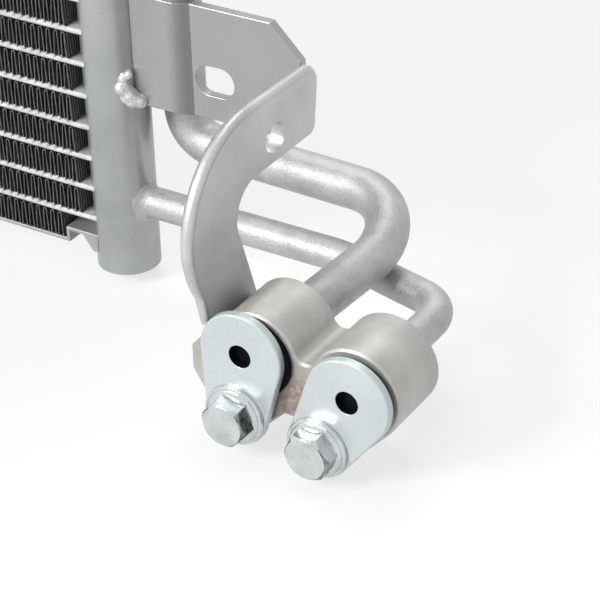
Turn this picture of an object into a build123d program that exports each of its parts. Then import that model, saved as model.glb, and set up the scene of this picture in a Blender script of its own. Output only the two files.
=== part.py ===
from build123d import *
import math
import os

os.makedirs("parts", exist_ok=True)

# Core: flat tubes stacked with folded fins between them, all lengths in millimetres
tube_count = 28
tube_height = 1.8
fin_height = 8.4
core_depth = 16.6
core_span = 520.0              # from header axis to header axis
lowest_tube = 15.3             # underside of the lowest tube, above the header's foot
tube_edge = 0.6                 # chamfer along a tube's front and rear
tube_reach = 3.5               # from the header axis to the tube's end
fin_sheet = 0.35
fin_waves = 16                 # coarse folds, their true pitch is far finer
fin_clearance = 0.6            # between the last fold and a header or the step of a side plate
fin_setback = 0.6              # the folds stand back from the tubes' front edges

# Headers: round tubes closed by discs and divided by baffles
header_radius = 9.7
header_wall = 1.4
header_margin = 7.0            # header above the upper side plate
cap_thickness = 2.5
baffle_thickness = 1.5
pass_tubes = (5, 6, 8, 9)      # tubes in each pass, from the bottom
braze_gap = 0.05               # a slot, bore or seat round the piece brazed into it

# Side plates: strips with stepped ends that enter the headers
plate_sheet = 1.2
plate_step = 3.9               # rise of the end tongue
plate_bend = 6.1               # from the header's wall to the step
ear_drop = 4.8
ear_width = 5.0
ear_start = 10.9               # from the header axis, on the tongue

# Corner brackets: pressed plates with a joggle and a slot, butted against the headers
bracket_sheet = 3.0
bracket_face = 3.8             # front of the inner flange, in front of the header axis
bracket_low = 56.8
bracket_height = 34.6
bracket_flange = 24.0          # header axis to the start of the joggle
joggle_run = 4.6
joggle_back = 1.9
bracket_reach = 64.6
bracket_cut = 9.7              # cut corners of the outer end
slot_from_axis = 36.0
slot_height = 68.9
slot_length = 12.8
slot_width = 9.0
bead_height = 11.0
bead_rise = 0.6                # above the bracket's lower edge
bead_leg = 4.2

# Ports and connector block
left_port_x = 84.2
left_port_z = 25.2
right_port_x = 114.3
right_port_z = 22.6
left_boss_radius = 12.9
right_boss_radius = 13.6
boss_back = 38.7               # back face of the block, in front of the header axis
block_depth = 20.5
web_low = 9.5
web_high = 27.4
web_fillet = 3.0
lug_reach = 20.6               # from the left port to the outer face of the lug
lug_high = 22.2
lug_low = 15.0
lug_slope = 3.1
lug_drop = 5.2
lobe_reach = 8.3              # from the left port to the lobe's right corner
lobe_foot = 7.3                # below the left bolt
lobe_half_foot = 3.5
lobe_corner = 4.2
pad_radius = 6.8
bolt_distance = 19.0            # from the centre of a cap plate
left_plate_turn = 6.7          # degrees from straight down
right_plate_turn = 28.1
bolt_lobe_radius = 8.6
socket_depth = 9.0
port_bore_radius = 4.2
block_rim = 0.6

# Pipes
inlet_radius = 6.35
outlet_radius = 4.76
pipe_wall = 1.2
inlet_x = 15.6
inlet_y = 12.0
inlet_run_z = 40.0
inlet_corner_x = 100.2
inlet_corner_y = 8.7
inlet_bend = 10.4
inlet_turn = 17.4
inlet_approach = 11.5          # straight end of the pipe behind the block
outlet_kink_x = 76.0
outlet_bend = 11.0
outlet_corner_y = 9.7         # in front of the header axis
outlet_into_header = 7.0       # from the header axis to the pipe's end
joint_height = 24.0
joint_below_top = 18.0         # from the header's top to the joint's top
joint_saddle_radius = 8.0
joint_wall = 3.0
joint_socket = 10.5
cross_bore_radius = 4.0
cross_bore_drop = 5.0          # centre of the cross bore, under the joint's upper wall

# Cap plates, seals and bolts
cap_plate_sheet = 2.5
cap_plate_radius = 12.5
left_plate_shift_x = -2.4       # the left plate sits a little off its port
left_plate_shift_z = 1.2
cap_plate_foot_radius = 9.4
cap_hole_radius = 3.35
seal_thickness = 1.4
seal_radius = 11.4
bolt_radius = 4.0
bolt_length = 16.0             # below the flange
bolt_hole_clearance = 0.4
thread_clearance = 0.05
flange_radius = 9.0
flange_thickness = 1.6
head_across_flats = 13.0
head_height = 5.2
head_chamfer = 0.75
head_face_radius = 6.2
left_head_turn = 12.0          # degrees
right_head_turn = -6.0
flange_rim = 0.4
plate_rim = 0.4

# Support arm: a bent plate, flat above the crease and leaning towards the block below it
arm_sheet = 4.2
arm_tilt = 4.0                 # degrees
arm_crease_drop = 0.6          # from the end of the inner curve down to the crease
arm_curve_z = 53.2             # centre of the outer curve
arm_curve_y = 35.0             # in front of the header axis
arm_outer_radius = 30.0
arm_neck_z = 38.8              # the outer curve ends here
arm_end_front_y = 59.8
arm_end_low = 30.4             # the front of the lower end
arm_foot_front_y = 56.0        # behind it the arm reaches down to the lug
arm_inner_radius = 8.4
arm_inner_y = 33.5             # centre of the inner curve
arm_inner_slant = 14.6         # degrees
arm_rear_top_y = -0.4          # the top corner reaches behind the header axis
arm_rear_low_y = 2.3
arm_top_fall = 0.7             # the top edge is lower at the rear
arm_corner_radius = 5.0
arm_corner_cut = 2.0
arm_rim = 1.3
arm_hole_radius = 4.6
arm_hole_y = 23.4
arm_hole_z = 69.6
arm_rim_clear = 1.5            # the end edges and the crease stay sharp

# Places worked out from the sizes above
tube_pitch = tube_height + fin_height
stack_height = tube_count * tube_pitch
low_plate_top = lowest_tube - fin_height
high_plate_low = lowest_tube + stack_height
header_length = high_plate_low + plate_sheet + header_margin
header_bore = header_radius - header_wall
core_middle = -core_span / 2
fin_length = core_span - 2 * (header_radius + fin_clearance)
edge_fin_length = fin_length - 2 * (plate_bend + plate_sheet)
block_front = boss_back + block_depth
plate_front = block_front + seal_thickness + cap_plate_sheet
joint_top = header_length - joint_below_top


def bolt_place(plate_x, plate_z, turn):
    """Place of a bolt, straight below its plate's centre when turn is 0."""
    angle = math.radians(turn)
    return (plate_x - bolt_distance * math.sin(angle), plate_z - bolt_distance * math.cos(angle))


left_plate_place = (left_port_x + left_plate_shift_x, left_port_z + left_plate_shift_z)
left_bolt_x, left_bolt_z = bolt_place(*left_plate_place, left_plate_turn)
right_bolt_x, right_bolt_z = bolt_place(right_port_x, right_port_z, right_plate_turn)


def keep(part, name):
    part.label = name
    export_step(part, f"parts/{name}.step")


# Flat tubes, with rounded edges
tube_first = lowest_tube + tube_height / 2
stack_middle = tube_first + (tube_count - 1) * tube_pitch / 2
with BuildPart() as flat_tubes:
    with BuildSketch(Plane.YZ.offset(-core_span + tube_reach)) as tube_section:
        with Locations((0, stack_middle)):
            with GridLocations(0, tube_pitch, 1, tube_count):
                Rectangle(core_depth, tube_height)
        chamfer(tube_section.vertices(), tube_edge)
    extrude(amount=core_span - 2 * tube_reach)
keep(flat_tubes.part, "flat_tubes")


# Folded fin strips between the tubes, and shorter ones between the outer tubes and the side plates
def fold_face(length):
    """Front view of one folded strip, whose crests touch the tubes above and below it."""
    leg_run = length / (2 * fin_waves)
    sheet_height = fin_sheet * math.hypot(leg_run, fin_height) / leg_run
    upper = [(n * leg_run - length / 2, fin_height / 2 - (n + 1) % 2 * (fin_height - sheet_height))
             for n in range(2 * fin_waves + 1)]
    lower = [(x, z - sheet_height) for x, z in reversed(upper)]
    with BuildSketch() as fold:
        with BuildLine():
            Polyline(*upper, *lower, close=True)
        make_face()
    return fold.sketch


lowest_row = low_plate_top + fin_height / 2
highest_row = lowest_row + tube_count * tube_pitch
with BuildPart() as fins:
    with BuildSketch(Plane.XZ.offset(-core_depth / 2 + fin_setback)):
        with Locations((core_middle, stack_middle)):
            with GridLocations(0, tube_pitch, 1, tube_count - 1):
                add(fold_face(fin_length))
        with Locations((core_middle, lowest_row), (core_middle, highest_row)):
            add(fold_face(edge_fin_length))
    extrude(amount=core_depth - 2 * fin_setback)
keep(fins.part, "fins")


# Side plates, each a strip with a stepped tongue and a gusset ear at both ends
def side_plate(level, out):
    """Plate lying on the core at a level; out is 1 for the upper plate and -1 for the lower."""
    tongue = level - out * plate_step
    tongue_low = tongue + out * plate_sheet
    step_x = header_radius + plate_bend
    half_core = core_span / 2
    with BuildPart() as plate:
        for side in (1, -1):
            def at(from_axis, z):
                return (core_middle + side * (half_core - from_axis), z)

            with BuildSketch(Plane.XZ.offset(-core_depth / 2)):
                with BuildLine():
                    Polyline((core_middle, level), at(step_x + plate_sheet, level),
                             at(step_x + plate_sheet, tongue), at(tube_reach, tongue),
                             at(tube_reach, tongue_low), at(step_x, tongue_low),
                             at(step_x, level + out * plate_sheet),
                             (core_middle, level + out * plate_sheet), close=True)
                make_face()
            extrude(amount=core_depth)
            with BuildSketch(Plane.XZ.offset(core_depth / 2 - ear_width)):
                with BuildLine():
                    Polyline(at(ear_start, tongue_low), at(tube_reach, tongue_low),
                             at(tube_reach, tongue_low + out * ear_drop),
                             at(header_radius - ear_drop / 2, tongue_low + out * ear_drop), close=True)
                make_face()
            extrude(amount=ear_width)
        for axis_x in (0, -core_span):
            ear_low = min(tongue_low, tongue_low + out * ear_drop)
            with BuildSketch(Plane.XY.offset(ear_low)):
                with Locations((axis_x, 0)):
                    Circle(header_radius + braze_gap)
            extrude(amount=ear_drop, mode=Mode.SUBTRACT)
    return plate.part


lower_side_plate = side_plate(low_plate_top, -1)
keep(lower_side_plate, "lower_side_plate")
upper_side_plate = side_plate(high_plate_low, 1)
keep(upper_side_plate, "upper_side_plate")

# Header tubes
low_tongue_z = low_plate_top + plate_step - plate_sheet / 2
high_tongue_z = high_plate_low - plate_step + plate_sheet / 2
joint_reach = math.hypot(inlet_x, inlet_y)
cross_plane = Plane((0, 0, joint_top - joint_wall - cross_bore_drop),
                    x_dir=(-inlet_y, inlet_x, 0), z_dir=(inlet_x, inlet_y, 0))


def header(axis_x, tube_side):
    """Header tube whose slots face the core; tube_side is -1 where the core lies at lower X."""
    with BuildPart() as tube:
        with BuildSketch():
            with Locations((axis_x, 0)):
                Circle(header_radius)
                Circle(header_bore, mode=Mode.SUBTRACT)
        extrude(amount=header_length)
        with BuildSketch(Plane.YZ.offset(axis_x + tube_side * (tube_reach - braze_gap))):
            with Locations((0, stack_middle)):
                with GridLocations(0, tube_pitch, 1, tube_count):
                    Rectangle(core_depth + 2 * braze_gap, tube_height + 2 * braze_gap)
            with Locations((0, low_tongue_z), (0, high_tongue_z)):
                Rectangle(core_depth + 2 * braze_gap, plate_sheet + 2 * braze_gap)
        extrude(amount=tube_side * header_radius, mode=Mode.SUBTRACT)
    return tube.part


with BuildPart() as right_header:
    add(header(0, -1))
    with BuildSketch(Plane.YZ):
        with Locations((0, right_port_z)):
            Circle(outlet_radius + braze_gap)
    extrude(amount=header_radius, mode=Mode.SUBTRACT)
    with BuildSketch(cross_plane):
        Circle(cross_bore_radius)
    extrude(amount=header_radius, mode=Mode.SUBTRACT)
keep(right_header.part, "right_header")

with BuildPart() as left_header:
    add(header(-core_span, 1))
keep(left_header.part, "left_header")


def header_disc(axis_x, low_z, thickness):
    """Round plate inside a header."""
    with BuildPart() as disc:
        with BuildSketch(Plane.XY.offset(low_z)):
            with Locations((axis_x, 0)):
                Circle(header_bore - braze_gap)
        extrude(amount=thickness)
    return disc.part


top_cap_z = header_length - cap_thickness
keep(header_disc(0, 0, cap_thickness), "right_foot_cap")
keep(header_disc(0, top_cap_z, cap_thickness), "right_top_cap")
keep(header_disc(-core_span, 0, cap_thickness), "left_foot_cap")
keep(header_disc(-core_span, top_cap_z, cap_thickness), "left_top_cap")


def baffle_z(tubes_below):
    """Underside of a baffle that lies above a number of tubes."""
    return lowest_tube + tubes_below * tube_pitch - (fin_height + baffle_thickness) / 2


last_pass, third_pass, second_pass, first_pass = pass_tubes
keep(header_disc(0, baffle_z(last_pass), baffle_thickness), "right_lower_baffle")
keep(header_disc(0, baffle_z(last_pass + third_pass + second_pass), baffle_thickness), "right_upper_baffle")
keep(header_disc(-core_span, baffle_z(last_pass + third_pass), baffle_thickness), "left_baffle")

# Corner brackets
joggle_shift = bracket_sheet * math.tan(math.atan2(joggle_back, joggle_run) / 2)
outer_face = bracket_face - joggle_back


def bracket(axis_x, side, low_z, slot_z):
    """Pressed bracket; side is 1 where it points to +X."""
    def at(from_axis, front):
        return (axis_x + side * from_axis, -front)

    joggle_end = bracket_flange + joggle_run
    with BuildPart() as plate:
        with BuildSketch(Plane.XY.offset(low_z)):
            with BuildLine():
                Polyline(at(header_bore, bracket_face), at(bracket_flange, bracket_face),
                         at(joggle_end, outer_face), at(bracket_reach, outer_face),
                         at(bracket_reach, outer_face - bracket_sheet),
                         at(joggle_end - joggle_shift, outer_face - bracket_sheet),
                         at(bracket_flange - joggle_shift, bracket_face - bracket_sheet),
                         at(header_bore, bracket_face - bracket_sheet), close=True)
            make_face()
        extrude(amount=bracket_height)
        outer_corners = plate.edges().filter_by(Axis.Y).sort_by(Axis.X, reverse=side > 0)[0:2]
        chamfer(outer_corners, bracket_cut)
        with BuildSketch(Plane.XZ.offset(bracket_face)):
            with Locations((axis_x + side * slot_from_axis, slot_z)):
                SlotOverall(slot_length, slot_width)
        extrude(amount=-2 * bracket_face, mode=Mode.SUBTRACT)
        with BuildSketch(Plane.XY.offset(low_z)):
            with Locations((axis_x, 0)):
                Circle(header_radius)
        extrude(amount=bracket_height, mode=Mode.SUBTRACT)
    return plate.part


high_bracket_low = header_length - bracket_low - bracket_height
high_slot_z = header_length - slot_height
keep(bracket(0, 1, bracket_low, slot_height), "lower_right_bracket")
keep(bracket(0, 1, high_bracket_low, high_slot_z), "upper_right_bracket")
keep(bracket(-core_span, -1, bracket_low, slot_height), "lower_left_bracket")
keep(bracket(-core_span, -1, high_bracket_low, high_slot_z), "upper_left_bracket")


def weld_bead(axis_x, side, low_z):
    """Weld in the corner between a header and the front of its bracket."""
    seam_x = math.sqrt(header_radius ** 2 - bracket_face ** 2)
    bead_front = bracket_face + bead_leg
    with BuildPart() as bead:
        with BuildSketch(Plane.XY.offset(low_z)):
            with BuildLine():
                Polyline((axis_x, -bracket_face), (axis_x + side * (seam_x + bead_leg), -bracket_face),
                         (axis_x + side * math.sqrt(header_radius ** 2 - bead_front ** 2), -bead_front),
                         (axis_x, -header_bore), close=True)
            make_face()
            with Locations((axis_x, 0)):
                Circle(header_radius, mode=Mode.SUBTRACT)
        extrude(amount=bead_height)
    return bead.part.solids().sort_by(SortBy.VOLUME)[-1]


bead_lows = [bracket_low + bead_rise, high_bracket_low + bracket_height - bead_rise - bead_height]
bracket_welds = Compound(children=[weld_bead(axis_x, side, low_z)
                                   for axis_x, side in ((0, 1), (-core_span, -1)) for low_z in bead_lows])
keep(bracket_welds, "bracket_welds")

# Connector block: two bosses, the web between them and the lobes that take the bolts
with BuildSketch() as right_lobe:
    with Locations((right_port_x, right_port_z)):
        Circle(right_boss_radius)
    with Locations((right_bolt_x, right_bolt_z)):
        Circle(bolt_lobe_radius)
    make_hull()

lug_x = left_port_x - lug_reach
lobe_x = left_port_x + lobe_reach
lobe_low = left_bolt_z - lobe_foot
with BuildSketch() as block_outline:
    with Locations((left_port_x, left_port_z)):
        Circle(left_boss_radius)
    add(right_lobe.sketch)
    with BuildLine():
        Polyline((left_port_x, web_high), (right_port_x, web_high), (right_port_x, web_low),
                 (lobe_x, web_low), (lobe_x - lobe_corner, web_low - lobe_corner),
                 (left_bolt_x + lobe_half_foot, lobe_low), (left_bolt_x - lobe_half_foot, lobe_low),
                 (lug_x + lug_slope, lug_low - lug_drop), (lug_x, lug_low), (lug_x, lug_high),
                 (lug_x + lug_slope, lug_high + lug_slope), (left_port_x, lug_high + lug_slope),
                 close=True)
    make_face()
    valley = [v for v in block_outline.vertices()
              if abs(v.Y - web_high) < 0.01 and left_port_x < v.X < right_port_x]
    fillet(valley, web_fillet)

port_places = [(left_port_x, left_port_z), (right_port_x, right_port_z)]
bolt_places = [(left_bolt_x, left_bolt_z), (right_bolt_x, right_bolt_z)]
with BuildPart() as connector_block:
    with BuildSketch(Plane.XZ.offset(boss_back)):
        add(block_outline.sketch)
    extrude(amount=block_depth)
    front_rim = connector_block.faces().sort_by(Axis.Y)[0].outer_wire().edges()
    chamfer(front_rim, block_rim)
    with BuildSketch(Plane.XZ.offset(block_front)):
        with Locations(*bolt_places):
            Circle(pad_radius)
    extrude(amount=seal_thickness)
    with BuildSketch(Plane.XZ.offset(boss_back)):
        with Locations(port_places[0]):
            Circle(inlet_radius + braze_gap)
        with Locations(port_places[1]):
            Circle(outlet_radius + braze_gap)
    extrude(amount=socket_depth, mode=Mode.SUBTRACT)
    with BuildSketch(Plane.XZ.offset(boss_back)):
        with Locations(*port_places):
            Circle(port_bore_radius)
    extrude(amount=block_depth, mode=Mode.SUBTRACT)
    with BuildSketch(Plane.XZ.offset(plate_front - bolt_length - thread_clearance)):
        with Locations(*bolt_places):
            Circle(bolt_radius + thread_clearance)
    extrude(amount=bolt_length, mode=Mode.SUBTRACT)
keep(connector_block.part, "connector_block")


def cap_plate(centre, bolt):
    """Teardrop plate that closes a port, with a small hole over the port and one for its bolt."""
    with BuildPart() as plate:
        with BuildSketch(Plane.XZ.offset(block_front + seal_thickness)):
            with Locations(centre):
                Circle(cap_plate_radius)
            with Locations(bolt):
                Circle(cap_plate_foot_radius)
            make_hull()
            with Locations(centre):
                Circle(cap_hole_radius, mode=Mode.SUBTRACT)
            with Locations(bolt):
                Circle(bolt_radius + bolt_hole_clearance, mode=Mode.SUBTRACT)
        extrude(amount=cap_plate_sheet)
        chamfer(plate.faces().sort_by(Axis.Y)[0].outer_wire().edges(), plate_rim)
    return plate.part


def port_seal(port):
    """Rubber disc under a cap plate, which closes the port."""
    with BuildPart() as seal:
        with BuildSketch(Plane.XZ.offset(block_front)):
            with Locations(port):
                Circle(seal_radius)
        extrude(amount=seal_thickness)
    return seal.part


def flange_bolt(bolt, turn):
    """Flanged hexagon bolt that holds a cap plate."""
    head_front = plate_front + flange_thickness + head_height
    corner_radius = head_across_flats / 2 / math.cos(math.radians(30))
    with BuildPart() as screw:
        with BuildSketch(Plane.XZ.offset(plate_front)):
            with Locations(bolt):
                Circle(corner_radius)
        extrude(amount=flange_thickness + head_height)
        front_circle = screw.faces().sort_by(Axis.Y)[0].edges()
        chamfer(front_circle, head_chamfer, corner_radius - head_face_radius)
        with BuildSketch(Plane.XZ.offset(plate_front)):
            with Locations(bolt):
                RegularPolygon(corner_radius, 6, rotation=turn)
        extrude(amount=flange_thickness + head_height, mode=Mode.INTERSECT)
        with BuildSketch(Plane.XZ.offset(plate_front)):
            with Locations(bolt):
                Circle(flange_radius)
        extrude(amount=flange_thickness)
        flange_edge = screw.edges().filter_by(GeomType.CIRCLE).sort_by(SortBy.RADIUS)[-2:]
        chamfer(flange_edge.sort_by(Axis.Y)[0], flange_rim)
        with BuildSketch(Plane.XZ.offset(plate_front)):
            with Locations(bolt):
                Circle(bolt_radius)
        extrude(amount=-bolt_length)
    return screw.part


for side, port, centre, bolt, turn in (
        ("left", port_places[0], left_plate_place, bolt_places[0], left_head_turn),
        ("right", port_places[1], port_places[1], bolt_places[1], right_head_turn)):
    keep(cap_plate(centre, bolt), f"{side}_cap_plate")
    keep(port_seal(port), f"{side}_port_seal")
    keep(flange_bolt(bolt, turn), f"{side}_flange_bolt")

# Support arm, a bent strip cut to its outline and to the boss that carries it
slant = math.radians(arm_inner_slant)
slant_start = (-arm_inner_y - arm_inner_radius * math.cos(slant), arm_curve_z - arm_inner_radius * math.sin(slant))
arm_crease_z = slant_start[1] - arm_crease_drop
arm_foot_z = lug_high + lug_slope
arm_low_x = left_port_x - left_boss_radius
arm_lean = math.tan(math.radians(arm_tilt)) * (arm_crease_z - arm_foot_z)
arm_face_x = arm_low_x - arm_lean
arm_top_z = arm_curve_z + arm_outer_radius
arm_neck_y = -arm_curve_y - math.sqrt(arm_outer_radius ** 2 - (arm_curve_z - arm_neck_z) ** 2)
arm_bow_y = -arm_curve_y - arm_outer_radius * math.sin(math.radians(55))
arm_bow_z = arm_curve_z + arm_outer_radius * math.cos(math.radians(55))
slant_end_y = slant_start[0] + math.tan(slant) * (slant_start[1] - arm_foot_z)
with BuildPart() as support_arm:
    with BuildSketch(Plane.XZ.offset(arm_rear_top_y)):
        with BuildLine():
            Polyline((arm_face_x, arm_top_z), (arm_face_x, arm_crease_z), (arm_low_x, arm_foot_z),
                     (arm_low_x - arm_sheet, arm_foot_z), (arm_face_x - arm_sheet, arm_crease_z),
                     (arm_face_x - arm_sheet, arm_top_z), close=True)
        make_face()
    extrude(amount=arm_curve_y + arm_outer_radius - arm_rear_top_y)
    with BuildSketch(Plane.YZ.offset(arm_face_x - arm_sheet)):
        with BuildLine():
            outer = ThreePointArc((-arm_curve_y, arm_top_z), (arm_bow_y, arm_bow_z), (arm_neck_y, arm_neck_z))
            inner = ThreePointArc((-arm_inner_y, arm_curve_z + arm_inner_radius),
                                  (-arm_inner_y - arm_inner_radius, arm_curve_z), slant_start)
            Polyline(outer @ 0, (-arm_rear_top_y, arm_top_z - arm_top_fall),
                     (-arm_rear_low_y, arm_curve_z + arm_inner_radius), inner @ 0)
            Polyline(outer @ 1, (-arm_end_front_y, arm_end_low), (-arm_foot_front_y, arm_end_low),
                     (-arm_foot_front_y, arm_foot_z), (slant_end_y, arm_foot_z), inner @ 1)
        make_face()
    extrude(amount=arm_sheet + arm_low_x - arm_face_x, mode=Mode.INTERSECT)
    rear_low = support_arm.edges().filter_by(Axis.X).sort_by(Axis.Y)[-2:].sort_by(Axis.Z)[0]
    chamfer(rear_low, arm_corner_cut)
    rear_top = support_arm.edges().filter_by(Axis.X).sort_by(Axis.Z)[-2:].sort_by(Axis.Y)[-1]
    fillet(rear_top, arm_corner_radius)
    rims = [edge for face in support_arm.faces().filter_by(lambda f: abs(f.normal_at().X) > 0.9)
            for edge in face.outer_wire().edges()]
    rims = [edge for edge in rims if edge.center().Z > arm_end_low + arm_rim_clear
            and abs(edge.center().Z - arm_crease_z) > arm_rim_clear]
    chamfer(rims, arm_rim)
    with BuildSketch(Plane.YZ.offset(arm_face_x)):
        with Locations((-arm_hole_y, arm_hole_z)):
            Circle(arm_hole_radius)
    extrude(amount=-arm_sheet, mode=Mode.SUBTRACT)
    with BuildSketch(Plane.XZ.offset(boss_back)):
        with Locations((left_port_x, left_port_z)):
            Circle(left_boss_radius)
    extrude(amount=block_depth, mode=Mode.SUBTRACT)
keep(support_arm.part, "support_arm")

# Pipes, round tubes bent along straight runs and arcs
inlet_top = joint_top - joint_height + joint_socket
inlet_route = FilletPolyline(
    (inlet_x, inlet_y, inlet_top), (inlet_x, inlet_y, inlet_run_z),
    (inlet_corner_x, inlet_corner_y, inlet_run_z),
    (left_port_x, -boss_back + inlet_approach, left_port_z),
    (left_port_x, -boss_back - socket_depth, left_port_z),
    radius=[inlet_bend, inlet_turn, inlet_turn])
outlet_route = FilletPolyline(
    (outlet_into_header, 0, right_port_z), (outlet_kink_x, 0, right_port_z),
    (right_port_x, -outlet_corner_y, right_port_z),
    (right_port_x, -boss_back - socket_depth, right_port_z),
    radius=[3 * outlet_bend, outlet_bend])


def pipe(route, radius):
    """Round pipe along a route."""
    start = Plane(route @ 0, z_dir=route % 0)
    with BuildPart() as tube:
        with BuildSketch(start):
            Circle(radius)
            Circle(radius - pipe_wall, mode=Mode.SUBTRACT)
        sweep(path=route)
    return tube.part


keep(pipe(inlet_route, inlet_radius), "inlet_pipe")
keep(pipe(outlet_route, outlet_radius), "outlet_pipe")

# Joint that carries the inlet pipe's top on the right header
with BuildPart() as inlet_joint:
    with BuildSketch(Plane.XY.offset(joint_top - joint_height)):
        with Locations((inlet_x, inlet_y)):
            Circle(inlet_radius + joint_wall)
        Circle(joint_saddle_radius)
        make_hull()
        Circle(header_radius, mode=Mode.SUBTRACT)
    extrude(amount=joint_height)
    with BuildSketch(Plane.XY.offset(joint_top - joint_height)):
        with Locations((inlet_x, inlet_y)):
            Circle(inlet_radius + braze_gap)
    extrude(amount=joint_socket, mode=Mode.SUBTRACT)
    with BuildSketch(Plane.XY.offset(joint_top - joint_height)):
        with Locations((inlet_x, inlet_y)):
            Circle(inlet_radius - pipe_wall)
    extrude(amount=joint_height - joint_wall, mode=Mode.SUBTRACT)
    with BuildSketch(cross_plane):
        Circle(cross_bore_radius)
    extrude(amount=joint_reach, mode=Mode.SUBTRACT)
keep(inlet_joint.part, "inlet_joint")
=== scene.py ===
import bmesh
import bpy
import math
from mathutils import Matrix, Vector


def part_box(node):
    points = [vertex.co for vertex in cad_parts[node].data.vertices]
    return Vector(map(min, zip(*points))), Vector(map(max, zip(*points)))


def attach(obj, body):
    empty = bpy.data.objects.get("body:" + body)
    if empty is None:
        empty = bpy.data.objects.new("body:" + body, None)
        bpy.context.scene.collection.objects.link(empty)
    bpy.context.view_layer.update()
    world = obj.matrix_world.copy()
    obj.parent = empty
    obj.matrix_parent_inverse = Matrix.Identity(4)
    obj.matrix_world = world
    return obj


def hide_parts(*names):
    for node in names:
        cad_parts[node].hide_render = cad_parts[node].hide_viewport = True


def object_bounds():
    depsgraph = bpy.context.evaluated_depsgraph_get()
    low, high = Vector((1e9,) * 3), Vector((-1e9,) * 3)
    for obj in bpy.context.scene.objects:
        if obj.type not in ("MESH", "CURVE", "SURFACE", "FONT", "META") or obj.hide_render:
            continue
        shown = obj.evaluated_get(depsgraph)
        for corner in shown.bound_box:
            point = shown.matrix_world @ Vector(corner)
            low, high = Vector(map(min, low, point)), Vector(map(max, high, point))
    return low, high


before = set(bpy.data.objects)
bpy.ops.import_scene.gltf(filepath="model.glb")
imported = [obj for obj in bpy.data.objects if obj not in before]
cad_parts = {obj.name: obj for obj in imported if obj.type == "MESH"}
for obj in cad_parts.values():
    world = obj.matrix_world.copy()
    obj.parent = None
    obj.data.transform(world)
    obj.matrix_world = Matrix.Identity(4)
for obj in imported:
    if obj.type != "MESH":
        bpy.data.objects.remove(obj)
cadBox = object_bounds()
mm = 0.001
print("frame loaded:", len(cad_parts), "nodes")


# node helpers, for shaders and for Geometry Nodes
def link(tree, a, b):
    tree.links.new(a, b)


def addNode(tree, kind, **values):
    node = tree.nodes.new(kind)
    for key, value in values.items():
        setattr(node, key, value)
    return node


def mathOf(tree, operation, a, b=0.0):
    node = addNode(tree, "ShaderNodeMath", operation=operation)
    for socket, value in zip(node.inputs, (a, b)):
        if isinstance(value, (int, float)):
            socket.default_value = value
        else:
            link(tree, value, socket)
    return node.outputs[0]


def noiseOf(tree, coords, scale, detail=3.0):
    noise = addNode(tree, "ShaderNodeTexNoise")
    noise.inputs["Scale"].default_value = scale
    noise.inputs["Detail"].default_value = detail
    link(tree, coords, noise.inputs["Vector"])
    return noise.outputs["Fac"]


def rangeOf(tree, value, low, high, fromLow=0.3, fromHigh=0.7):
    node = addNode(tree, "ShaderNodeMapRange")
    for key, number in (("From Min", fromLow), ("From Max", fromHigh), ("To Min", low), ("To Max", high)):
        node.inputs[key].default_value = number
    link(tree, value, node.inputs["Value"])
    return node.outputs[0]


# a finish: patches of tone, and a fine grain in the tone, the roughness and the bump
def makeFinish(name, look):
    finish = bpy.data.materials.new(name)
    finish.use_nodes = True
    tree = finish.node_tree
    shader = tree.nodes["Principled BSDF"]
    coords = addNode(tree, "ShaderNodeTexCoord").outputs["Object"]
    patches = noiseOf(tree, coords, look["patchScale"])
    grain = noiseOf(tree, coords, look["grainScale"])
    grainShare = look.get("grainTone", 0.35)
    blend = mathOf(tree, "ADD", mathOf(tree, "MULTIPLY", grain, grainShare),
                   mathOf(tree, "MULTIPLY", patches, 1 - grainShare))
    tone = addNode(tree, "ShaderNodeMix", data_type="RGBA")
    tone.inputs["A"].default_value = (*look["dark"], 1)
    tone.inputs["B"].default_value = (*look["light"], 1)
    link(tree, rangeOf(tree, blend, 0, 1, 0.36, 0.64), tone.inputs["Factor"])
    link(tree, tone.outputs["Result"], shader.inputs["Base Color"])
    shader.inputs["Metallic"].default_value = look["metallic"]
    shader.inputs["Specular IOR Level"].default_value = look.get("specular", 0.5)
    link(tree, rangeOf(tree, grain, *look["rough"]), shader.inputs["Roughness"])
    bump = addNode(tree, "ShaderNodeBump")
    bump.inputs["Distance"].default_value = look["bump"] * mm
    bump.inputs["Strength"].default_value = 1.0
    link(tree, grain, bump.inputs["Height"])
    link(tree, bump.outputs[0], shader.inputs["Normal"])
    return finish


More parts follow.
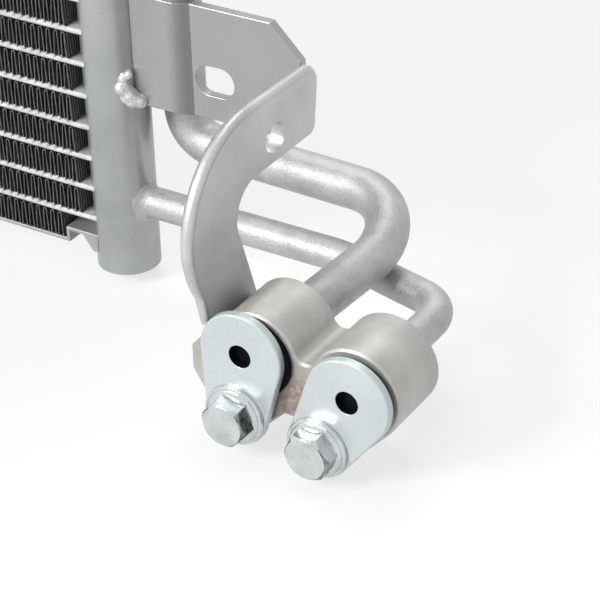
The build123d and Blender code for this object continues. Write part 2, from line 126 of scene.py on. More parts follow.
# scales are in noise cells per metre, and the bump is in mm
looks = {
    "tube": dict(dark=(.50, .51, .50), light=(.70, .71, .70), metallic=.2, rough=(.5, .65), bump=.05,
                 patchScale=300, grainScale=2400),
    # the fins' near-black tone is painted shade, standing in for the shade deep between the louvres
    "fin": dict(dark=(.012, .015, .015), light=(.036, .042, .040), metallic=.2, rough=(.4, .6), bump=.02,
                patchScale=260, grainScale=2200),
    # painted light: a lit copy of the fin finish, for the cut edges of the sheet
    "finLitEdge": dict(dark=(.10, .105, .10), light=(.25, .255, .24), metallic=.2, rough=(.45, .65), bump=.02,
                    patchScale=400, grainScale=2600),
    "header": dict(dark=(.36, .375, .377), light=(.45, .465, .467), metallic=.75, rough=(.27, .42), bump=.022,
                   patchScale=60, grainScale=2600),
    "plate": dict(dark=(.36, .37, .37), light=(.48, .49, .49), metallic=.5, rough=(.34, .5), bump=.015,
                  patchScale=90, grainScale=2600),
    "bracket": dict(dark=(.35, .36, .358), light=(.42, .43, .428), metallic=.75, rough=(.30, .40), bump=.010,
                    patchScale=50, grainScale=2600),
    "weld": dict(dark=(.40, .41, .41), light=(.86, .87, .87), metallic=.5, rough=(.2, .5), bump=.06,
                 patchScale=500, grainScale=2600),
    "block": dict(dark=(.43, .425, .404), light=(.57, .563, .538), metallic=.55, rough=(.34, .56), bump=.045,
                  patchScale=90, grainScale=2600),
    "zinc": dict(dark=(.56, .615, .625), light=(.645, .70, .71), metallic=.4, rough=(.28, .4), bump=.003,
                 patchScale=50, grainScale=900),
    "bolt": dict(dark=(.52, .55, .555), light=(.68, .71, .715), metallic=.95, rough=(.15, .26), bump=.002,
                 patchScale=160, grainScale=1300),
    # painted shade: the darker finish for the side flats of the bolt heads, a shaded copy of the bolt finish
    "boltFlankShade": dict(dark=(.05, .056, .058), light=(.42, .44, .445), metallic=.9, rough=(.2, .32), bump=.003,
                      patchScale=260, grainScale=1300),
    "rubber": dict(dark=(.003, .004, .005), light=(.007, .008, .010), metallic=0, rough=(.7, .85), bump=.01,
                   patchScale=200, grainScale=1500, specular=.08),
    "arm": dict(dark=(.50, .507, .50), light=(.64, .647, .64), metallic=.65, rough=(.28, .5), bump=.06,
                patchScale=60, grainScale=1900),
    "pipe": dict(dark=(.40, .406, .40), light=(.58, .586, .58), metallic=.55, rough=(.36, .66), bump=.14,
                 patchScale=120, grainScale=1700, grainTone=.5),
}
finishes = {name: makeFinish(name + "Finish", look) for name, look in looks.items()}


# lays one more tone over a finish, and gives its tree, its coordinates and the socket for the mask
def layOver(name, tone):
    tree = finishes[name].node_tree
    under = next(node for node in tree.nodes if node.bl_idname == "ShaderNodeMix").outputs["Result"]
    coords = next(node for node in tree.nodes if node.bl_idname == "ShaderNodeTexCoord").outputs["Object"]
    over = addNode(tree, "ShaderNodeMix", data_type="RGBA")
    over.inputs["B"].default_value = (*tone, 1)
    link(tree, under, over.inputs["A"])
    link(tree, over.outputs["Result"], tree.nodes["Principled BSDF"].inputs["Base Color"])
    return tree, coords, over.inputs["Factor"]


# louvres: the slits across the depth of a fin are painted light, a lighter tone where the louvre blades catch
# the light, broken up by noise
louvreLight = dict(tone=(.3, .31, .295), scale=290.0, distortion=3.0, detail=2.0, detailScale=1.5, most=0.75)
tree, coords, mask = layOver("fin", louvreLight["tone"])
slits = addNode(tree, "ShaderNodeTexWave", bands_direction="Y")
for socket, key in (("Scale", "scale"), ("Distortion", "distortion"), ("Detail", "detail"),
                    ("Detail Scale", "detailScale")):
    slits.inputs[socket].default_value = louvreLight[key]
link(tree, coords, slits.inputs["Vector"])
link(tree, rangeOf(tree, slits.outputs["Fac"], 0, louvreLight["most"], 0.6, 1.0), mask)

# painted shade with a brownish painted reflection on the block, low on the web between the ports, in the
# recess between the plates
webShade = dict(tone=(.33, .24, .195), place=(98 * mm, -60 * mm, 14 * mm), full=5 * mm, gone=15 * mm, scale=700)
tree, coords, mask = layOver("block", webShade["tone"])
fromWeb = addNode(tree, "ShaderNodeVectorMath", operation="DISTANCE")
fromWeb.inputs[1].default_value = webShade["place"]
link(tree, coords, fromWeb.inputs[0])
nearWeb = rangeOf(tree, fromWeb.outputs["Value"], 1.0, 0.0, webShade["full"], webShade["gone"])
blotches = rangeOf(tree, noiseOf(tree, coords, webShade["scale"], 4.0), 0.25, 0.95, 0.35, 0.6)
link(tree, mathOf(tree, "MULTIPLY", nearWeb, blotches), mask)

# painted shade: the pressed bend of each bracket is darker, up to the crease where the flat tab starts
coreMiddle = sum(corner.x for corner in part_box("fins")) / 2
bendShade = dict(tone=(.205, .214, .212), run=4.6 * mm, fade=2.6 * mm,
                   start=24.0 * mm)           # from the header's axis
tree, coords, mask = layOver("bracket", bendShade["tone"])
apart = addNode(tree, "ShaderNodeSeparateXYZ")
link(tree, coords, apart.inputs[0])
fromMiddle = mathOf(tree, "ABSOLUTE", mathOf(tree, "SUBTRACT", apart.outputs["X"], coreMiddle))
bendStart = abs(coreMiddle) + bendShade["start"]
rising = rangeOf(tree, fromMiddle, 0, 1, bendStart - bendShade["fade"], bendStart + bendShade["fade"])
beforeCrease = mathOf(tree, "LESS_THAN", fromMiddle, bendStart + bendShade["run"])
link(tree, mathOf(tree, "MULTIPLY", rising, beforeCrease), mask)
print("materials made:", len(finishes))


# copies of CAD nodes with eased edges and smooth rounds; sizes in mm, angles in degrees
def takeOver(node, finish, slot, ease=0.0, steps=3, sharp=28, rounded=False):
    work = bmesh.new()
    work.from_mesh(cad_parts[node].data)
    bmesh.ops.remove_doubles(work, verts=work.verts, dist=0.002 * mm)
    bmesh.ops.dissolve_limit(work, angle_limit=math.radians(0.5), verts=work.verts, edges=work.edges)
    for face in work.faces:
        face.smooth = True
    for edge in work.edges:
        limit = sharp
        if rounded and all(abs(face.normal.x) > 0.9 for face in edge.link_faces):
            limit = 2                            # a crease between two flats still shows
        edge.smooth = not (edge.is_manifold and edge.calc_face_angle(0) > math.radians(limit))
    mesh = bpy.data.meshes.new(node + "Mesh")
    work.to_mesh(mesh)
    work.free()
    piece = bpy.data.objects.new(node + "_shown", mesh)
    bpy.context.collection.objects.link(piece)
    mesh.materials.append(finishes[finish])
    if ease:
        bevel = piece.modifiers.new("ease", "BEVEL")
        bevel.width = ease * mm
        bevel.segments = steps
        bevel.limit_method = "ANGLE"
        bevel.angle_limit = math.radians(sharp)
        bevel.harden_normals = True
    if rounded:                                  # flats keep their normals and the chamfers turn between them
        piece.modifiers.new("weighted", "WEIGHTED_NORMAL").keep_sharp = True
    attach(piece, "root")
    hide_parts(node)
    return piece


headerLike = dict(finish="header", slot="header_aluminium", ease=0.3, steps=2, sharp=50)
bracketLike = dict(finish="bracket", slot="bracket_aluminium", ease=0.45, sharp=15)
taken = {
    "flat_tubes": dict(finish="tube", slot="tube_aluminium", ease=0.22, steps=2, sharp=20),
    "lower_side_plate": dict(finish="plate", slot="plate_aluminium", ease=0.3),
    "upper_side_plate": dict(finish="plate", slot="plate_aluminium", ease=0.3),
    "right_header": headerLike,
    "left_header": headerLike,
    "lower_right_bracket": bracketLike,
    "upper_right_bracket": bracketLike,
    "lower_left_bracket": bracketLike,
    "upper_left_bracket": bracketLike,
    "connector_block": dict(finish="block", slot="block_aluminium", ease=0.35),
    "inlet_joint": dict(finish="block", slot="block_aluminium", ease=0.4),
    "left_cap_plate": dict(finish="zinc", slot="zinc_plate", ease=0.25),
    "right_cap_plate": dict(finish="zinc", slot="zinc_plate", ease=0.25),
    "left_port_seal": dict(finish="rubber", slot="seal_rubber", ease=0.3),
    "right_port_seal": dict(finish="rubber", slot="seal_rubber", ease=0.3),
    "support_arm": dict(finish="arm", slot="arm_aluminium", sharp=60, rounded=True),
    "inlet_pipe": dict(finish="pipe", slot="pipe_aluminium"),
    "outlet_pipe": dict(finish="pipe", slot="pipe_aluminium"),
}
shown = {node: takeOver(node, **settings) for node, settings in taken.items()}
for node in ("right_foot_cap", "right_top_cap", "left_foot_cap", "left_top_cap", "right_lower_baffle",
             "right_upper_baffle", "left_baffle", "bracket_welds"):
    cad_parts[node].data.materials.clear()
    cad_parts[node].data.materials.append(finishes["header"])
print("CAD nodes dressed:", len(shown))

# painted shade: the walls of the cap plates' holes are given the black rubber finish, as black as the seals
# behind them
holeReach = 6.5 * mm                # from the port's centre to beyond the wall of the hole
for side in ("left", "right"):
    mesh = shown[side + "_cap_plate"].data
    mesh.materials.append(finishes["rubber"])
    port = sum(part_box(side + "_port_seal"), Vector()) / 2
    for face in mesh.polygons:
        fromPort = math.hypot(face.center.x - port.x, face.center.z - port.z)
        if abs(face.normal.y) < 0.3 and fromPort < holeReach:
            face.material_index = len(mesh.materials) - 1


# flange bolts: a lathed flange with a raised ring, and a hexagon cut back by a steep cone
def flangeBolt(node, settings):
    low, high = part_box(node)
    axisX, axisZ = (low.x + high.x) / 2, (low.z + high.z) / 2
    faceY = low.y                                        # front of the head
    steps = settings["steps"]
    bolt = bmesh.new()

    def loopAt(radii, depths, angles):
        return [bolt.verts.new((axisX + r * math.cos(a), faceY + d, axisZ + r * math.sin(a)))
                for r, d, a in zip(radii, depths, angles)]

    def skin(loops):
        for one, two in zip(loops, loops[1:]):
            for n in range(steps):
                m = (n + 1) % steps
                bolt.faces.new((one[n], one[m], two[m], two[n]))
        bolt.faces.new(loops[0])
        bolt.faces.new(loops[-1])

    full, sixth = 2 * math.pi, math.pi / 3
    turns = [math.radians(settings["turn"]) + full * n / steps for n in range(steps)]
    rounds = [full * n / steps for n in range(steps)]
    flats = settings["acrossFlats"] / 2
    hexagon = [flats / math.cos((angle + sixth / 2) % sixth - sixth / 2) for angle in rounds]
    disc, cone = settings["disc"], math.tan(math.radians(settings["coneAngle"]))
    coneDepths = [max(settings["leastCone"], (radius - disc) * cone) for radius in hexagon]
    skin([loopAt([disc * settings["faceShare"]] * steps, [0] * steps, turns),
          loopAt([disc] * steps, [0] * steps, turns),
          loopAt(hexagon, coneDepths, turns),
          loopAt(hexagon, [settings["headHeight"]] * steps, turns)])
    skin([loopAt([radius] * steps, [depth] * steps, rounds) for radius, depth in settings["flangeProfile"]])
    bmesh.ops.recalc_face_normals(bolt, faces=bolt.faces)
    for face in bolt.faces:
        face.smooth = True
    for edge in bolt.edges:
        edge.smooth = not (edge.is_manifold and edge.calc_face_angle(0) > math.radians(settings["sharp"]))
    mesh = bpy.data.meshes.new(node + "Mesh")
    bolt.to_mesh(mesh)
    bolt.free()
    piece = bpy.data.objects.new(node + "_shown", mesh)
    bpy.context.collection.objects.link(piece)
    mesh.materials.append(finishes["bolt"])
    mesh.materials.append(finishes["boltFlankShade"])
    for face in mesh.polygons:                           # painted shade: darker flanks, but not the front or an upper flat
        onHead = face.center.y < faceY + settings["headHeight"]
        if onHead and face.normal.y > -0.9 and face.normal.z < 0.55:
            face.material_index = 1
    bevel = piece.modifiers.new("ease", "BEVEL")
    bevel.width, bevel.segments = settings["ease"], 2
    bevel.limit_method, bevel.angle_limit = "ANGLE", math.radians(settings["sharp"])
    bevel.harden_normals = True
    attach(piece, "root")
    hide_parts(node)


boltShape = dict(
    acrossFlats=12.4 * mm, disc=5.9 * mm, coneAngle=48, leastCone=0.02 * mm, headHeight=5.3 * mm,
    ease=0.1 * mm, sharp=18, steps=96, faceShare=0.93,
    flangeProfile=[(4.0 * mm, 4.9 * mm), (6.6 * mm, 4.9 * mm), (7.7 * mm, 5.35 * mm), (7.95 * mm, 5.6 * mm),
                   (8.1 * mm, 5.45 * mm), (8.7 * mm, 5.6 * mm), (9.0 * mm, 5.95 * mm), (9.0 * mm, 6.75 * mm),
                   (4.0 * mm, 6.75 * mm)])           # radius, and depth behind the head's front
flangeBolt("left_flange_bolt", dict(boltShape, turn=18))
flangeBolt("right_flange_bolt", dict(boltShape, turn=36))
print("bolts done")


# Geometry Nodes helpers
def mathsIn(tree):
    return lambda operation, a, b=0.0: mathOf(tree, operation, a, b)


def newTree(name, inputs):
    tree = bpy.data.node_groups.new(name, "GeometryNodeTree")
    tree.interface.new_socket("Geometry", in_out="INPUT", socket_type="NodeSocketGeometry")
    tree.interface.new_socket("Geometry", in_out="OUTPUT", socket_type="NodeSocketGeometry")
    for label, kind in inputs:
        tree.interface.new_socket(label, in_out="INPUT", socket_type="NodeSocket" + kind)
    start = addNode(tree, "NodeGroupInput")
    end = addNode(tree, "NodeGroupOutput")
    return tree, start.outputs, end.inputs["Geometry"]


def closeTree(tree, geometry, finishSocket, endSocket):
    real = addNode(tree, "GeometryNodeRealizeInstances")
    paint = addNode(tree, "GeometryNodeSetMaterial")
    link(tree, geometry, real.inputs["Geometry"])
    link(tree, real.outputs["Geometry"], paint.inputs["Geometry"])
    link(tree, finishSocket, paint.inputs["Material"])
    link(tree, paint.outputs["Geometry"], endSocket)


def growPiece(name, tree, values, sheet=0.0):
    seed = bpy.data.objects.new(name + "Seed", bpy.data.meshes.new(name + "Seed"))
    bpy.context.collection.objects.link(seed)
    modifier = seed.modifiers.new("grow", "NODES")
    modifier.node_group = tree
    for item in tree.interface.items_tree:
        if item.in_out == "INPUT" and item.name in values:
            modifier[item.identifier] = values[item.name]
    if sheet:
        wall = seed.modifiers.new("wall", "SOLIDIFY")
        wall.thickness = sheet
        wall.offset = 0.0
    bpy.context.view_layer.update()
    graph = bpy.context.evaluated_depsgraph_get()
    mesh = bpy.data.meshes.new_from_object(seed.evaluated_get(graph))
    piece = bpy.data.objects.new(name, mesh)
    bpy.context.collection.objects.link(piece)
    bpy.data.objects.remove(seed)
    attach(piece, "root")
    print(name, "triangles:", sum(len(p.vertices) - 2 for p in mesh.polygons))
    return piece


# folded fins: a sheet whose points run along a rounded square wave, one sheet in each row
tubesLow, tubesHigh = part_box("flat_tubes")
finsLow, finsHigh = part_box("fins")
headerLow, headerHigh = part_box("right_header")
tubeCount = 28
tubeHeight = 1.8 * mm
tubePitch = (tubesHigh.z - tubesLow.z - tubeHeight) / (tubeCount - 1)
finHeight = tubePitch - tubeHeight
fins = dict(
    wave=2.75 * mm,
    segments=12,
    sheet=0.2 * mm,
    edge=0.3 * mm,         # what counts as the cut edge of the sheet, which gets the painted light
    crest=0.52 * mm,       # radius of a fold
    crestShare=0.34,       # share of a half wave that the fold takes
    crumple=1.4 * mm,      # the last folds beside the headers are a little crushed
    crumpleEnds=110.0,     # over one part in this many of the row
    crumpleScale=420.0,
    shortBy=7.3 * mm,      # the lowest and highest rows stop short of the headers
)

finTree, at, finEnd = newTree("foldedFins", [
    ("Rows", "Int"), ("Waves", "Int"), ("Segments", "Int"), ("Length", "Float"), ("Depth", "Float"),
    ("Height", "Float"), ("Row Pitch", "Float"), ("Start", "Vector"), ("Crest", "Float"),
    ("Crest Share", "Float"), ("Crumple", "Float"), ("Finish", "Material")])
maths = mathsIn(finTree)
grid = addNode(finTree, "GeometryNodeMeshGrid")
grid.inputs["Size X"].default_value = 1.0
grid.inputs["Vertices Y"].default_value = 2
link(finTree, at["Depth"], grid.inputs["Size Y"])
link(finTree, maths("ADD", maths("MULTIPLY", at["Waves"], at["Segments"]), 1), grid.inputs["Vertices X"])
spot = addNode(finTree, "GeometryNodeInputPosition")
apart = addNode(finTree, "ShaderNodeSeparateXYZ")
link(finTree, spot.outputs[0], apart.inputs[0])
halfWaves = maths("MULTIPLY", maths("ADD", apart.outputs["X"], 0.5), maths("MULTIPLY", at["Waves"], 2.0))
fold = maths("FLOOR", maths("ADD", halfWaves, 0.5))            # number of the nearest fold
fromFold = maths("SUBTRACT", halfWaves, fold)
distance = maths("ABSOLUTE", fromFold)
turned = maths("MINIMUM", maths("DIVIDE", distance, at["Crest Share"]), 1.0)
crestAngle = maths("MULTIPLY", turned, math.pi / 2)
beyondCrest = maths("MAXIMUM", maths("SUBTRACT", distance, at["Crest Share"]), 0.0)
leg = maths("DIVIDE", beyondCrest, maths("SUBTRACT", 0.5, at["Crest Share"]))
halfRun = maths("DIVIDE", at["Length"], maths("MULTIPLY", at["Waves"], 2.0))
slant = maths("SUBTRACT", maths("MULTIPLY", halfRun, 0.5), at["Crest"])
across = maths("ADD", maths("MULTIPLY", at["Crest"], maths("SINE", crestAngle)), maths("MULTIPLY", slant, leg))
sideways = maths("MULTIPLY", maths("SIGN", fromFold), across)
alongX = maths("ADD", maths("MULTIPLY", fold, halfRun), sideways)
halfHeight = maths("MULTIPLY", at["Height"], 0.5)
crestDrop = maths("MULTIPLY", at["Crest"], maths("SUBTRACT", 1.0, maths("COSINE", crestAngle)))
legDrop = maths("MULTIPLY", leg, maths("SUBTRACT", halfHeight, at["Crest"]))
fromMidline = maths("SUBTRACT", halfHeight, maths("ADD", crestDrop, legDrop))
flip = maths("COSINE", maths("MULTIPLY", fold, math.pi))       # every other fold is at the top
upZ = maths("MULTIPLY", maths("MULTIPLY", flip, -1.0), fromMidline)
place = addNode(finTree, "ShaderNodeCombineXYZ")
for key, value in (("X", alongX), ("Y", apart.outputs["Y"]), ("Z", upZ)):
    link(finTree, value, place.inputs[key])
folded = addNode(finTree, "GeometryNodeSetPosition")
link(finTree, grid.outputs["Mesh"], folded.inputs["Geometry"])
link(finTree, place.outputs[0], folded.inputs["Position"])
fromEnd = maths("SUBTRACT", 0.5, maths("ABSOLUTE", apart.outputs["X"]))
nearEnd = maths("MAXIMUM", maths("SUBTRACT", 1.0, maths("MULTIPLY", fromEnd, fins["crumpleEnds"])), 0.0)
ruffle = addNode(finTree, "ShaderNodeTexNoise")
ruffle.inputs["Scale"].default_value = fins["crumpleScale"]
centred = addNode(finTree, "ShaderNodeVectorMath", operation="SUBTRACT")
centred.inputs[1].default_value = (0.5, 0.5, 0.5)
link(finTree, ruffle.outputs["Color"], centred.inputs[0])
crushed = addNode(finTree, "ShaderNodeVectorMath", operation="SCALE")
link(finTree, centred.outputs[0], crushed.inputs[0])
link(finTree, maths("MULTIPLY", nearEnd, at["Crumple"]), crushed.inputs["Scale"])
worn = addNode(finTree, "GeometryNodeSetPosition")
link(finTree, folded.outputs["Geometry"], worn.inputs["Geometry"])
link(finTree, crushed.outputs[0], worn.inputs["Offset"])
rows = addNode(finTree, "GeometryNodeMeshLine")
link(finTree, at["Rows"], rows.inputs["Count"])
link(finTree, at["Start"], rows.inputs["Start Location"])
step = addNode(finTree, "ShaderNodeCombineXYZ")
link(finTree, at["Row Pitch"], step.inputs["Z"])
link(finTree, step.outputs[0], rows.inputs["Offset"])
copies = addNode(finTree, "GeometryNodeInstanceOnPoints")
link(finTree, rows.outputs["Mesh"], copies.inputs["Points"])
link(finTree, worn.outputs["Geometry"], copies.inputs["Instance"])
closeTree(finTree, copies.outputs["Instances"], at["Finish"], finEnd)

finDepth = tubesHigh.y - tubesLow.y                # the folds come level with the tubes' noses
lowestRow = tubesLow.z - finHeight / 2
longRow = finsHigh.x - finsLow.x - fins["sheet"]
shortRow = longRow - 2 * fins["shortBy"]


def growFins(name, firstRow, rowCount, rowStep, length):
    piece = growPiece(name, finTree, {
        "Rows": rowCount, "Waves": round(length / fins["wave"]), "Segments": fins["segments"],
        "Length": length, "Depth": finDepth, "Height": finHeight - fins["sheet"],
        "Row Pitch": rowStep * tubePitch,
        "Start": (coreMiddle - length / 2, 0, lowestRow + firstRow * tubePitch),
        "Crest": fins["crest"], "Crest Share": fins["crestShare"], "Crumple": fins["crumple"],
        "Finish": finishes["fin"]}, fins["sheet"])
    # painted light: the cut edges of the sheet get the lighter, lit copy of the fin finish
    piece.data.materials.append(finishes["finLitEdge"])
    edgeDepth = finDepth / 2 - fins["edge"]
    for face in piece.data.polygons:
        if abs(face.normal.y) > 0.8 and abs(face.center.y) > edgeDepth:
            face.material_index = len(piece.data.materials) - 1
    return piece


lowerFins = growFins("lower_fins", 1, 9, 1, longRow)
growFins("middle_fins", 10, 9, 1, longRow)
growFins("upper_fins", 19, 9, 1, longRow)
growFins("outer_fins", 0, 2, tubeCount, shortRow)
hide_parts("fins")

# braze beads: small lumps where the lower folds meet a tube, along the front and rear edges
braze = dict(size=(0.8 * mm, 0.5 * mm, 0.75 * mm), least=0.7, most=1.15, tilt=0.3, setBack=0.25 * mm)
beadTree, at, beadEnd = newTree("brazeBeads", [
    ("Rows", "Int"), ("Waves", "Int"), ("Wave", "Float"), ("Row Pitch", "Float"), ("Start", "Vector"),
    ("Size", "Vector"), ("Seed", "Int"), ("Finish", "Material")])
waves = addNode(beadTree, "GeometryNodeMeshLine")
waveStep = addNode(beadTree, "ShaderNodeCombineXYZ")
link(beadTree, at["Wave"], waveStep.inputs["X"])
link(beadTree, at["Waves"], waves.inputs["Count"])
link(beadTree, at["Start"], waves.inputs["Start Location"])
link(beadTree, waveStep.outputs[0], waves.inputs["Offset"])
rows = addNode(beadTree, "GeometryNodeMeshLine")
rowStep = addNode(beadTree, "ShaderNodeCombineXYZ")
link(beadTree, at["Row Pitch"], rowStep.inputs["Z"])
link(beadTree, at["Rows"], rows.inputs["Count"])
link(beadTree, rowStep.outputs[0], rows.inputs["Offset"])
lines = addNode(beadTree, "GeometryNodeInstanceOnPoints")
link(beadTree, rows.outputs["Mesh"], lines.inputs["Points"])
link(beadTree, waves.outputs["Mesh"], lines.inputs["Instance"])
points = addNode(beadTree, "GeometryNodeRealizeInstances")
link(beadTree, lines.outputs["Instances"], points.inputs["Geometry"])
lump = addNode(beadTree, "GeometryNodeMeshIcoSphere")
lump.inputs["Radius"].default_value = 1.0
lump.inputs["Subdivisions"].default_value = 1
jitter = addNode(beadTree, "FunctionNodeRandomValue", data_type="FLOAT")
jitter.inputs[2].default_value = braze["least"]
jitter.inputs[3].default_value = braze["most"]
link(beadTree, at["Seed"], jitter.inputs["Seed"])
grown = addNode(beadTree, "ShaderNodeVectorMath", operation="SCALE")
link(beadTree, at["Size"], grown.inputs[0])
link(beadTree, jitter.outputs[1], grown.inputs["Scale"])
spin = addNode(beadTree, "FunctionNodeRandomValue", data_type="FLOAT_VECTOR")
spin.inputs[0].default_value = (-braze["tilt"],) * 3
spin.inputs[1].default_value = (braze["tilt"],) * 3
link(beadTree, at["Seed"], spin.inputs["Seed"])
lumps = addNode(beadTree, "GeometryNodeInstanceOnPoints")
link(beadTree, points.outputs["Geometry"], lumps.inputs["Points"])
link(beadTree, lump.outputs["Mesh"], lumps.inputs["Instance"])
link(beadTree, grown.outputs[0], lumps.inputs["Scale"])
link(beadTree, spin.outputs[0], lumps.inputs["Rotation"])
closeTree(beadTree, lumps.outputs["Instances"], at["Finish"], beadEnd)

waveCount = round(longRow / fins["wave"])
for name, beadY, seedNumber in (("front_braze", tubesLow.y + braze["setBack"], 3),
                                ("rear_braze", tubesHigh.y - braze["setBack"], 8)):
    growPiece(name, beadTree, {
        "Rows": tubeCount, "Waves": waveCount, "Wave": longRow / waveCount, "Row Pitch": tubePitch,
        "Start": (coreMiddle - longRow / 2, beadY, tubesLow.z + tubeHeight),
        "Size": braze["size"], "Seed": seedNumber, "Finish": finishes["tube"]})
print("core done")

# weld beads: overlapping drops joined in a volume, down the corner and along the bracket's lower edge
weld = dict(
    drops=12,
    drop=2.9 * mm,
    voxel=0.3 * mm,
    seed=5,
    shift=Vector((0.5, 0.4, 0.4)) * mm,
    least=0.75, most=1.1,
    firstDrop=0.35, growth=0.11,      # the first drops are smaller
    start=(8.5, -4.7, 10.8), corner=(4.6, -8.0, 4.5), end=(11.2, -4.8, 1.3),
)                                     # mm from the header's axis, outwards, and from the bracket's lower edge

weldTree, at, weldEnd = newTree("weldBead", [
    ("From", "Vector"), ("Corner", "Vector"), ("To", "Vector"), ("Drops", "Int"), ("Drop", "Float"),
    ("Voxel", "Float"), ("Seed", "Int"), ("Finish", "Material")])
seam = addNode(weldTree, "GeometryNodeCurveQuadraticBezier")
for key, label in (("Start", "From"), ("Middle", "Corner"), ("End", "To")):
    link(weldTree, at[label], seam.inputs[key])
stops = addNode(weldTree, "GeometryNodeCurveToPoints")
link(weldTree, seam.outputs["Curve"], stops.inputs["Curve"])
link(weldTree, at["Drops"], stops.inputs["Count"])
drop = addNode(weldTree, "GeometryNodeMeshIcoSphere")
drop.inputs["Subdivisions"].default_value = 3
link(weldTree, at["Drop"], drop.inputs["Radius"])
shift = addNode(weldTree, "FunctionNodeRandomValue", data_type="FLOAT_VECTOR")
shift.inputs[0].default_value = -weld["shift"]
shift.inputs[1].default_value = weld["shift"]
link(weldTree, at["Seed"], shift.inputs["Seed"])
scatter = addNode(weldTree, "GeometryNodeSetPosition")
link(weldTree, stops.outputs["Points"], scatter.inputs["Geometry"])
link(weldTree, shift.outputs[0], scatter.inputs["Offset"])
swell = addNode(weldTree, "FunctionNodeRandomValue", data_type="FLOAT")
swell.inputs[2].default_value = weld["least"]
swell.inputs[3].default_value = weld["most"]
link(weldTree, at["Seed"], swell.inputs["Seed"])
number = addNode(weldTree, "GeometryNodeInputIndex").outputs[0]
taper = mathOf(weldTree, "ADD", weld["firstDrop"], mathOf(weldTree, "MULTIPLY", number, weld["growth"]))
drops = addNode(weldTree, "GeometryNodeInstanceOnPoints")
link(weldTree, scatter.outputs["Geometry"], drops.inputs["Points"])
link(weldTree, drop.outputs["Mesh"], drops.inputs["Instance"])
link(weldTree, mathOf(weldTree, "MULTIPLY", swell.outputs[1], mathOf(weldTree, "MINIMUM", taper, 1.0)),
     drops.inputs["Scale"])
solid = addNode(weldTree, "GeometryNodeRealizeInstances")
link(weldTree, drops.outputs["Instances"], solid.inputs["Geometry"])
volume = addNode(weldTree, "GeometryNodeMeshToVolume", resolution_mode="VOXEL_SIZE")
link(weldTree, solid.outputs["Geometry"], volume.inputs["Mesh"])
link(weldTree, at["Voxel"], volume.inputs["Voxel Size"])
skin = addNode(weldTree, "GeometryNodeVolumeToMesh", resolution_mode="VOXEL_SIZE")
link(weldTree, volume.outputs["Volume"], skin.inputs["Volume"])
link(weldTree, at["Voxel"], skin.inputs["Voxel Size"])
soft = addNode(weldTree, "GeometryNodeSetShadeSmooth")
link(weldTree, skin.outputs["Mesh"], soft.inputs["Geometry"])
closeTree(weldTree, soft.outputs["Geometry"], at["Finish"], weldEnd)


def weldPoint(point, axisX, side, lowZ):
    across, forward, up = (value * mm for value in point)
    return axisX + side * across, forward, lowZ + up


leftAxis = 2 * coreMiddle
for place, axisX, side in (("lower_right", 0, 1), ("upper_right", 0, 1),
                           ("lower_left", leftAxis, -1), ("upper_left", leftAxis, -1)):
    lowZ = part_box(place + "_bracket")[0].z
    growPiece(place + "_weld", weldTree, {
        "From": weldPoint(weld["start"], axisX, side, lowZ),
        "Corner": weldPoint(weld["corner"], axisX, side, lowZ),
        "To": weldPoint(weld["end"], axisX, side, lowZ),
        "Drops": weld["drops"], "Drop": weld["drop"], "Voxel": weld["voxel"], "Seed": weld["seed"],
        "Finish": finishes["weld"]})
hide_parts("bracket_welds")


# braze fillets: wavy rings where a pipe enters the header or a boss
fillet = dict(steps=72, sink=0.3 * mm, shares=(0, 0.25, 0.5, 0.75, 1), slowWave=0.18, quickWave=0.1)


def brazeRing(name, finish, pipe, width, place):
    ring = bmesh.new()
    loops = []
    inner = pipe - fillet["sink"]
    for step in range(fillet["steps"]):
        angle = 2 * math.pi * step / fillet["steps"]
        waviness = fillet["slowWave"] * math.sin(3 * angle + 1) + fillet["quickWave"] * math.sin(7 * angle)
        spread = width * (1 + waviness)
        profile = [(pipe + spread * share ** 2, spread * (1 - share) ** 2) for share in fillet["shares"]]
        profile += [(pipe + spread, -fillet["sink"]), (inner, -fillet["sink"]), (inner, spread)]
        loops.append([ring.verts.new(place(reach * math.cos(angle), reach * math.sin(angle), off))
                      for reach, off in profile])
    for one, two in zip(loops, loops[1:] + loops[:1]):
        for n in range(len(one)):
            m = (n + 1) % len(one)
            ring.faces.new((one[n], one[m], two[m], two[n]))
    bmesh.ops.recalc_face_normals(ring, faces=ring.faces)
    for face in ring.faces:
        face.smooth = True
    mesh = bpy.data.meshes.new(name)
    ring.to_mesh(mesh)
    ring.free()
    piece = bpy.data.objects.new(name, mesh)
    bpy.context.collection.objects.link(piece)
    mesh.materials.append(finishes[finish])
    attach(piece, "root")


headerRadius = (headerHigh.y - headerLow.y) / 2
bossBack = -38.7 * mm
inletEnd = dict(x=84.2 * mm, z=25.2 * mm, pipe=6.3 * mm)
outletEnd = dict(x=114.3 * mm, z=22.6 * mm, pipe=4.7 * mm)
brazeRing("header_braze", "pipe", outletEnd["pipe"], 2.0 * mm,
          lambda a, b, off: (math.sqrt(headerRadius ** 2 - a ** 2) + off, a, outletEnd["z"] + b))
for name, end in (("inlet_braze", inletEnd), ("outlet_braze", outletEnd)):
    brazeRing(name, "block", end["pipe"], 1.9 * mm,
              lambda a, b, off: (end["x"] + a, bossBack + off, end["z"] + b))
print("welds and braze done")

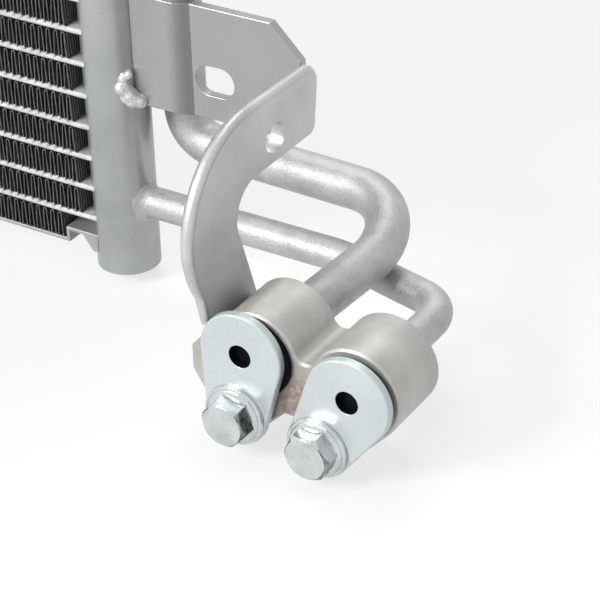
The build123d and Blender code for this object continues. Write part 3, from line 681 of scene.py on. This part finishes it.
# floor, world, lamps and camera
stage = dict(reach=8.0, floorDrop=0.4 * mm, floorTone=0.85, floorShare=0.62, floorGlow=1.12,
             fadeFrom=0.7, fadeTo=2.5, ambient=0.35)         # further out the floor fades to plain white
lampSettings = {
    "keyLamp": dict(place=(-0.60, -1.16, 0.85), size=0.6, power=19),
    "topLamp": dict(place=(-0.25, 0.55, 1.5), size=0.9, power=9),
}
lampAim = Vector((0.04, -0.02, 0.04))
floorZ, reach = cadBox[0].z - stage["floorDrop"], stage["reach"]
floorMesh = bpy.data.meshes.new("floor")
floorMesh.from_pydata([(-reach, -reach, floorZ), (reach, -reach, floorZ), (reach, reach, floorZ),
                       (-reach, reach, floorZ)], [], [(0, 1, 2, 3)])
floor = bpy.data.objects.new("floor", floorMesh)
bpy.context.collection.objects.link(floor)


def showsBackdrop(tree):
    path = addNode(tree, "ShaderNodeLightPath").outputs
    seen = mathOf(tree, "MAXIMUM", path["Is Camera Ray"], path["Is Glossy Ray"])
    return mathOf(tree, "MAXIMUM", seen, path["Is Transmission Ray"])


floorFinish = bpy.data.materials.new("floorFinish")
floorFinish.use_nodes = True
tree = floorFinish.node_tree
shader = tree.nodes["Principled BSDF"]
shader.inputs["Base Color"].default_value = (*(stage["floorTone"],) * 3, 1)
shader.inputs["Roughness"].default_value = 0.9
shader.inputs["Specular IOR Level"].default_value = 0.1
glow = addNode(tree, "ShaderNodeEmission")
glow.inputs["Strength"].default_value = stage["floorGlow"]
mixed = addNode(tree, "ShaderNodeMixShader")
spot = addNode(tree, "ShaderNodeTexCoord").outputs["Object"]
away = addNode(tree, "ShaderNodeVectorMath", operation="LENGTH")
link(tree, spot, away.inputs[0])
share = rangeOf(tree, away.outputs["Value"], stage["floorShare"], 1.0, stage["fadeFrom"], stage["fadeTo"])
link(tree, mathOf(tree, "MULTIPLY", showsBackdrop(tree), share), mixed.inputs["Fac"])
link(tree, shader.outputs[0], mixed.inputs[1])
link(tree, glow.outputs[0], mixed.inputs[2])
link(tree, mixed.outputs[0], tree.nodes["Material Output"].inputs["Surface"])
floorMesh.materials.append(floorFinish)

world = bpy.data.worlds.new("studio")
bpy.context.scene.world = world
world.use_nodes = True
tree = world.node_tree
dim = tree.nodes["Background"]
dim.inputs["Color"].default_value = (1, 1, 1, 1)
dim.inputs["Strength"].default_value = stage["ambient"]
white = addNode(tree, "ShaderNodeBackground")
white.inputs["Color"].default_value = (1, 1, 1, 1)
white.inputs["Strength"].default_value = 1.0
mixed = addNode(tree, "ShaderNodeMixShader")
link(tree, showsBackdrop(tree), mixed.inputs["Fac"])
link(tree, dim.outputs[0], mixed.inputs[1])
link(tree, white.outputs[0], mixed.inputs[2])
link(tree, mixed.outputs[0], tree.nodes["World Output"].inputs["Surface"])

for name, settings in lampSettings.items():
    lampData = bpy.data.lights.new(name, "AREA")
    lampData.size = settings["size"]
    lampData.energy = settings["power"]
    lamp = bpy.data.objects.new(name, lampData)
    lamp.location = settings["place"]
    lamp.rotation_euler = (lampAim - lamp.location).to_track_quat("-Z", "Y").to_euler()
    bpy.context.collection.objects.link(lamp)

camera = dict(place=(362.2 * mm, -473.4 * mm, 350.2 * mm), right=(0.8516, 0.5236, -0.0249),
              down=(0.2572, -0.4589, -0.8504), lens=135.73)
lens = bpy.data.cameras.new("camera")
lens.sensor_width = 36.0
lens.lens = camera["lens"]
eye = bpy.data.objects.new("camera", lens)
right = Vector(camera["right"]).normalized()
up = -Vector(camera["down"])
up = (up - right * up.dot(right)).normalized()
back = right.cross(up)
eye.matrix_world = Matrix((
    (right.x, up.x, back.x, camera["place"][0]),
    (right.y, up.y, back.y, camera["place"][1]),
    (right.z, up.z, back.z, camera["place"][2]),
    (0, 0, 0, 1)))
bpy.context.collection.objects.link(eye)
bpy.context.scene.camera = eye
bpy.context.scene.view_settings.view_transform = "Standard"
print("stage and camera set")
